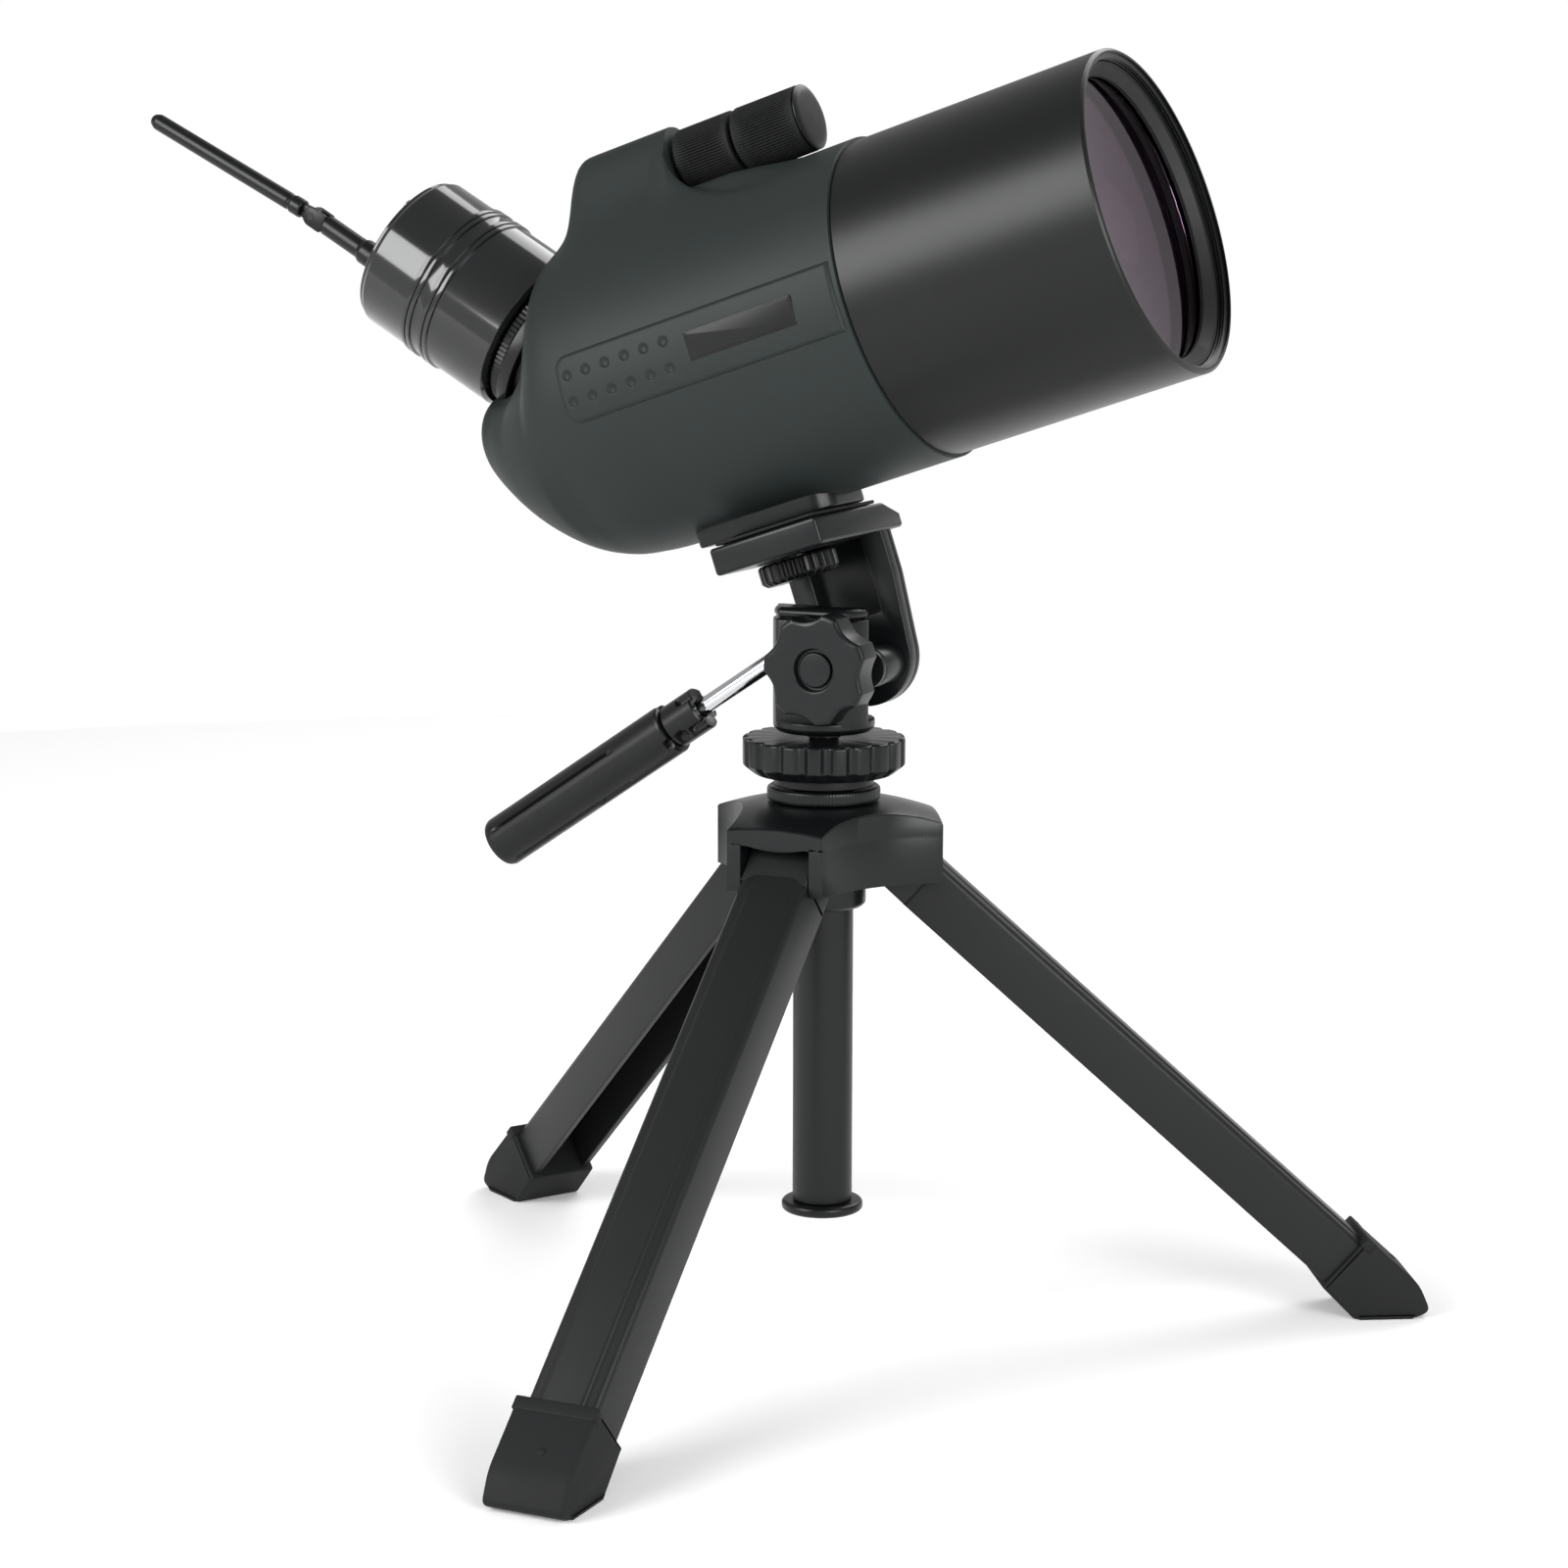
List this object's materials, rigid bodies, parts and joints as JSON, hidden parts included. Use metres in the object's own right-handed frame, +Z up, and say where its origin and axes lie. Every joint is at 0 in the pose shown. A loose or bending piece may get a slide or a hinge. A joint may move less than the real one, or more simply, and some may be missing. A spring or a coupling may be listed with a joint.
{
  "type": "spotting scope",
  "caption": "Short mirror-lens spotting scope with an angled eyepiece port and wireless eyepiece camera, on a folding tabletop tripod with pan-and-tilt head.",
  "frame": {"origin": "on the ground plane, under the middle of the bounding box", "axes": "+Z up; +X the way the scope looks, along the ground; +Y to the left of the scope"},
  "size_m": [0.3658, 0.2638, 0.3461],
  "materials": {
    "rubber_armour": "fine matt grain",
    "black_abs": "satin moulded plastic",
    "satin_black_metal": "satin black anodising",
    "gloss_black_metal": "gloss black anodising",
    "leg_metal": "matt black paint",
    "black_rubber": "matt",
    "steel": "turned",
    "chrome": "polished",
    "brass": "turned",
    "coated_glass": "multi-coated",
    "mirror_glass": "front-silvered",
    "circuit_board": "solder mask"
  },
  "bodies": {
    "hub": {"hub": "black_abs", "leg_pin_1": "steel", "leg_pin_2": "steel", "leg_pin_3": "steel"},
    "leg_one": {"leg_1": "leg_metal", "foot_1": "black_rubber"},
    "leg_two": {"leg_2": "leg_metal", "foot_2": "black_rubber"},
    "leg_three": {"leg_3": "leg_metal", "foot_3": "black_rubber"},
    "lock_ring": {"column_lock_ring": "black_abs"},
    "column": {"column_tube": "satin_black_metal", "column_end_cap": "black_abs"},
    "pan_wheel": {"pan_lock_wheel": "black_abs"},
    "pan_head": {"pan_housing": "black_abs", "housing_crown": "black_abs"},
    "handle": {"handle_rod": "chrome", "handle_grip": "black_abs", "grip_sleeve": "black_abs"},
    "tilt_knob": {"tilt_star_knob": "black_abs"},
    "scope": {"tilt_platform": "black_abs", "platform_pad": "black_rubber", "tilt_bolt": "steel", "body_shell": "rubber_armour", "name_plate_left": "satin_black_metal", "name_plate_right": "satin_black_metal", "mount_foot": "leg_metal", "foot_bush": "brass", "front_tube": "satin_black_metal", "corrector_lens": "coated_glass", "lens_retaining_ring": "black_abs", "secondary_baffle": "black_abs", "light_baffle": "black_abs", "erecting_prism": "coated_glass", "prism_cage": "black_abs", "eyepiece_collar": "black_abs"},
    "screw": {"camera_screw": "steel", "camera_screw_wheel": "black_abs"},
    "coarse_focus": {"coarse_focus_wheel": "black_rubber", "focus_spindle": "steel"},
    "fine_focus": {"fine_focus_wheel": "black_rubber", "focus_end_cap": "black_abs"},
    "mirror": {"primary_mirror": "mirror_glass", "mirror_carrier": "black_abs"},
    "eyepiece_camera": {"camera_shell": "gloss_black_metal", "camera_barrel": "satin_black_metal", "camera_lens": "coated_glass", "sensor_board": "circuit_board", "battery": "steel", "camera_rear_cover": "black_abs"},
    "power_button": {"power_button": "steel"},
    "antenna_foot": {"antenna_base": "black_abs", "antenna_pin": "brass"},
    "antenna_whip": {"antenna_rod": "black_abs"}
  },
  "joints": [
    {"name": "leg_one_fold", "type": "hinge", "parent": "hub", "child": "leg_one", "pos_m": [0.04878, 0.048, 0.13007], "axis": [-0.5, 0.866, 0], "range_deg": [0, 47]},
    {"name": "leg_two_fold", "type": "hinge", "parent": "hub", "child": "leg_two", "pos_m": [0.01241, 0.048, 0.13007], "axis": [-0.5, -0.866, 0], "range_deg": [0, 47]},
    {"name": "leg_three_fold", "type": "hinge", "parent": "hub", "child": "leg_three", "pos_m": [0.03059, 0.0165, 0.13007], "axis": [1, 0, 0], "range_deg": [0, 47]},
    {"name": "lock_ring_turn", "type": "hinge", "parent": "hub", "child": "lock_ring", "pos_m": [0.03059, 0.0375, 0.149], "axis": [0, 0, 1], "range_deg": [0, 180]},
    {"name": "column_lift", "type": "slide", "parent": "hub", "child": "column", "axis": [0, 0, 1], "range_m": [0, 0.082]},
    {"name": "pan_wheel_turn", "type": "hinge", "parent": "column", "child": "pan_wheel", "pos_m": [0.03059, 0.0375, 0.159], "axis": [0, 0, 1], "range_deg": [0, 180]},
    {"name": "pan", "type": "hinge", "parent": "column", "child": "pan_head", "pos_m": [0.03059, 0.0375, 0.166], "axis": [0, 0, 1], "continuous": true},
    {"name": "handle_twist", "type": "hinge", "parent": "pan_head", "child": "handle", "pos_m": [0.01679, 0.032, 0.18407], "axis": [-0.83, 0, -0.5577], "range_deg": [0, 360]},
    {"name": "tilt", "type": "hinge", "parent": "pan_head", "child": "scope", "pos_m": [0.03659, 0.0375, 0.18497], "axis": [0, -1, 0], "range_deg": [-70, 25]},
    {"name": "tilt_knob_turn", "type": "hinge", "parent": "pan_head", "child": "tilt_knob", "pos_m": [0.03659, 0.0375, 0.18497], "axis": [0, -1, 0], "range_deg": [0, 180]},
    {"name": "camera_screw_turn", "type": "hinge", "parent": "scope", "child": "screw", "pos_m": [0.03176, 0.0375, 0.18335], "axis": [-0.319, 0, 0.9478], "continuous": true},
    {"name": "coarse_focus_turn", "type": "hinge", "parent": "scope", "child": "coarse_focus", "pos_m": [0.03873, 0.0375, 0.33351], "axis": [0.9478, 0, 0.319], "range_deg": [-1080, 1080]},
    {"name": "fine_focus_turn", "type": "hinge", "parent": "scope", "child": "fine_focus", "pos_m": [0.03873, 0.0375, 0.33351], "axis": [0.9478, 0, 0.319], "range_deg": [-1080, 1080]},
    {"name": "mirror_travel", "type": "slide", "parent": "scope", "child": "mirror", "axis": [0.9478, 0, 0.319], "range_m": [-0.00569, 0.00569]},
    {"name": "camera_rotation", "type": "hinge", "parent": "scope", "child": "eyepiece_camera", "pos_m": [-0.05051, 0.0375, 0.26571], "axis": [-0.8643, 0, 0.503], "continuous": true},
    {"name": "button_press", "type": "slide", "parent": "eyepiece_camera", "child": "power_button", "axis": [0.8643, 0, -0.503], "range_m": [0, 0.0008], "stiffness_N_per_m": 300},
    {"name": "antenna_swivel", "type": "hinge", "parent": "eyepiece_camera", "child": "antenna_foot", "pos_m": [-0.1012, 0.0375, 0.28596], "axis": [-0.8643, 0, 0.503], "continuous": true},
    {"name": "antenna_fold", "type": "hinge", "parent": "antenna_foot", "child": "antenna_whip", "pos_m": [-0.12834, 0.0375, 0.30175], "axis": [0, 1, 0], "range_deg": [0, 90]}
  ],
  "couplings": [
    {"joint": "coarse_focus_turn", "follows": "mirror_travel", "rad_per_m": 3306.9}
  ]
}
